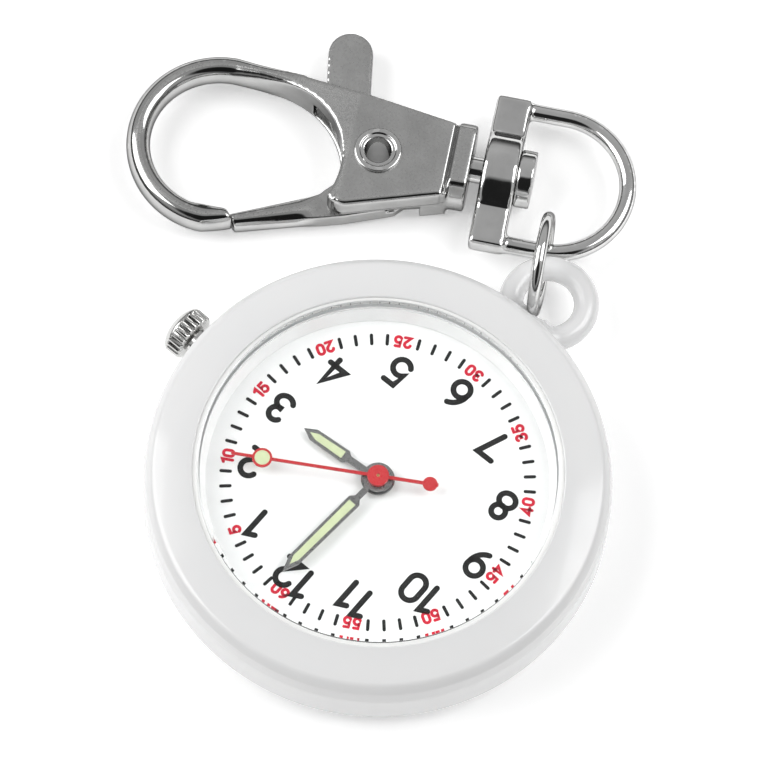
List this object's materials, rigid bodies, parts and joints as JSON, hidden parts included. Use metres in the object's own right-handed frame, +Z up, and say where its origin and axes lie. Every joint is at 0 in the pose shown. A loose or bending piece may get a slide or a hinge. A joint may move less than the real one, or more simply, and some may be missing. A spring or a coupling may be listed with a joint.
{
  "type": "fob watch",
  "caption": "Round clip-on fob watch with upside-down dial, bail loop, jump ring, D-ring and swivel trigger clasp; hands, crown, clasp and gate move.",
  "frame": {"origin": "centre of the case back's outer face, which rests on the table", "axes": "+Z up through the glass, +Y from the case centre to the bail loop (the dial's six), -X to the crown (the dial's three)"},
  "size_m": [0.0516, 0.0512, 0.0081],
  "materials": {
    "case_plastic": "glossy white moulding",
    "case_back_steel": "circular brushed",
    "gasket": "black rubber",
    "glass": "clear mineral glass",
    "glass_gasket": "white nylon",
    "rehaut": "pale grey satin",
    "dial_white": "satin white enamel paint",
    "hand_steel": "polished",
    "lume": "pale green-cream luminous paint",
    "seconds_red": "red lacquer",
    "bright_steel": "polished steel",
    "holder_plastic": "natural acetal",
    "gilt_plate": "gilt",
    "brass": "plain",
    "circuit_board": "green solder mask",
    "black_resin": "black epoxy",
    "coil_copper": "lacquered copper wire",
    "magnet": "sintered",
    "gear_plastic": "white acetal",
    "bright_nickel": "polished nickel plate",
    "satin_nickel": "fine grained nickel plate"
  },
  "bodies": {
    "watch": {"case": "case_plastic", "case_back": "case_back_steel", "back_gasket": "gasket", "crystal": "glass", "crystal_gasket": "glass_gasket", "rehaut_ring": "rehaut", "dial": "dial_white", "crown_tube": "bright_steel", "movement_ring": "holder_plastic", "main_plate": "gilt_plate", "train_bridge": "gilt_plate", "screws": "bright_steel", "battery": "bright_steel", "positive_contact": "brass", "negative_contact": "brass", "circuit_board": "circuit_board", "ic_chip": "black_resin", "quartz_can": "bright_steel", "coil": "coil_copper", "coil_core": "magnet", "stator": "magnet"},
    "seconds": {"seconds_wheel": "brass", "seconds_hand": "seconds_red", "seconds_lume": "lume"},
    "rotor": {"rotor": "gear_plastic", "rotor_magnet": "magnet"},
    "intermediate": {"intermediate_wheel": "gear_plastic"},
    "third": {"third_wheel": "brass"},
    "centre": {"centre_wheel": "brass"},
    "minutes": {"cannon_pinion": "bright_steel", "minute_hand": "hand_steel", "minute_lume": "lume"},
    "minute_works": {"minute_wheel": "brass"},
    "hours": {"hour_wheel": "brass", "hour_hand": "hand_steel", "hour_lume": "lume"},
    "crown_slide": {"crown_gasket": "gasket"},
    "crown": {"crown": "bright_steel", "stem": "bright_steel"},
    "sliding_pinion": {"sliding_pinion": "bright_steel"},
    "setting_lever": {"setting_lever": "bright_steel"},
    "yoke": {"yoke": "bright_steel"},
    "jump_ring": {"jump_ring": "bright_nickel"},
    "d_ring": {"d_ring": "bright_nickel"},
    "clasp": {"clasp_body": "satin_nickel", "swivel_pin": "bright_nickel", "pivot_rivet": "bright_nickel", "gate_spring": "bright_steel"},
    "gate": {"gate_lever": "satin_nickel"}
  },
  "joints": [
    {"name": "seconds_turn", "type": "hinge", "parent": "watch", "child": "seconds", "pos_m": [0, 0, 0], "axis": [0, 0, 1], "continuous": true},
    {"name": "rotor_turn", "type": "hinge", "parent": "watch", "child": "rotor", "pos_m": [0.00138, 0.00357, 0], "axis": [0, 0, 1], "continuous": true},
    {"name": "intermediate_turn", "type": "hinge", "parent": "watch", "child": "intermediate", "pos_m": [-0.00098, 0.00271, 0], "axis": [0, 0, 1], "continuous": true},
    {"name": "third_turn", "type": "hinge", "parent": "watch", "child": "third", "pos_m": [-0.00145, -0.00251, 0], "axis": [0, 0, 1], "continuous": true},
    {"name": "centre_turn", "type": "hinge", "parent": "watch", "child": "centre", "pos_m": [0, 0, 0], "axis": [0, 0, 1], "continuous": true},
    {"name": "minute_turn", "type": "hinge", "parent": "watch", "child": "minutes", "pos_m": [0, 0, 0], "axis": [0, 0, 1], "continuous": true},
    {"name": "minute_works_turn", "type": "hinge", "parent": "watch", "child": "minute_works", "pos_m": [-0.0024, 0, 0], "axis": [0, 0, 1], "continuous": true},
    {"name": "hour_turn", "type": "hinge", "parent": "watch", "child": "hours", "pos_m": [0, 0, 0], "axis": [0, 0, 1], "continuous": true},
    {"name": "crown_pull", "type": "slide", "parent": "watch", "child": "crown_slide", "axis": [-1, 0, 0], "range_m": [0, 0.0008]},
    {"name": "crown_turn", "type": "hinge", "parent": "crown_slide", "child": "crown", "pos_m": [0, 0, 0.00315], "axis": [-1, 0, 0], "continuous": true},
    {"name": "sliding_pinion_shift", "type": "slide", "parent": "crown", "child": "sliding_pinion", "axis": [1, 0, 0], "range_m": [0, 0.0013]},
    {"name": "setting_lever_swing", "type": "hinge", "parent": "watch", "child": "setting_lever", "pos_m": [-0.0075, -0.0022, 0], "axis": [0, 0, 1], "range_deg": [0, 21]},
    {"name": "yoke_swing", "type": "hinge", "parent": "watch", "child": "yoke", "pos_m": [-0.0063, 0.0024, 0], "axis": [0, 0, 1], "range_deg": [0, 12.5]},
    {"name": "jump_ring_swing", "type": "hinge", "parent": "watch", "child": "jump_ring", "pos_m": [-0.00143, 0.02218, 0.003], "axis": [0.8637, 0.5027, 0.0366], "range_deg": [-12, 10]},
    {"name": "d_ring_swing", "type": "hinge", "parent": "jump_ring", "child": "d_ring", "pos_m": [-0.00626, 0.02112, 0.00239], "axis": [0.8686, 0.4955, 0], "range_deg": [-35, 60]},
    {"name": "clasp_swivel", "type": "hinge", "parent": "d_ring", "child": "clasp", "pos_m": [-0.01162, 0.02445, 0.0024], "axis": [0.8686, 0.4955, 0], "continuous": true},
    {"name": "gate_open", "type": "hinge", "parent": "clasp", "child": "gate", "pos_m": [-0.01732, 0.02011, 0.0024], "axis": [0, 0, 1], "range_deg": [-28, 0], "stiffness_Nm_per_rad": 0.02, "springref_deg": 20.05}
  ],
  "couplings": [
    {"joint": "rotor_turn", "follows": "seconds_turn", "ratio": 30},
    {"joint": "intermediate_turn", "follows": "seconds_turn", "ratio": -5},
    {"joint": "third_turn", "follows": "seconds_turn", "ratio": -0.13333},
    {"joint": "centre_turn", "follows": "seconds_turn", "ratio": 0.016667},
    {"joint": "minute_works_turn", "follows": "minute_turn", "ratio": -0.33333},
    {"joint": "hour_turn", "follows": "minute_turn", "ratio": 0.083333},
    {"joint": "sliding_pinion_shift", "follows": "crown_pull", "ratio": 1.625},
    {"joint": "setting_lever_swing", "follows": "crown_pull", "rad_per_m": 449.5},
    {"joint": "yoke_swing", "follows": "crown_pull", "rad_per_m": 265.4}
  ]
}
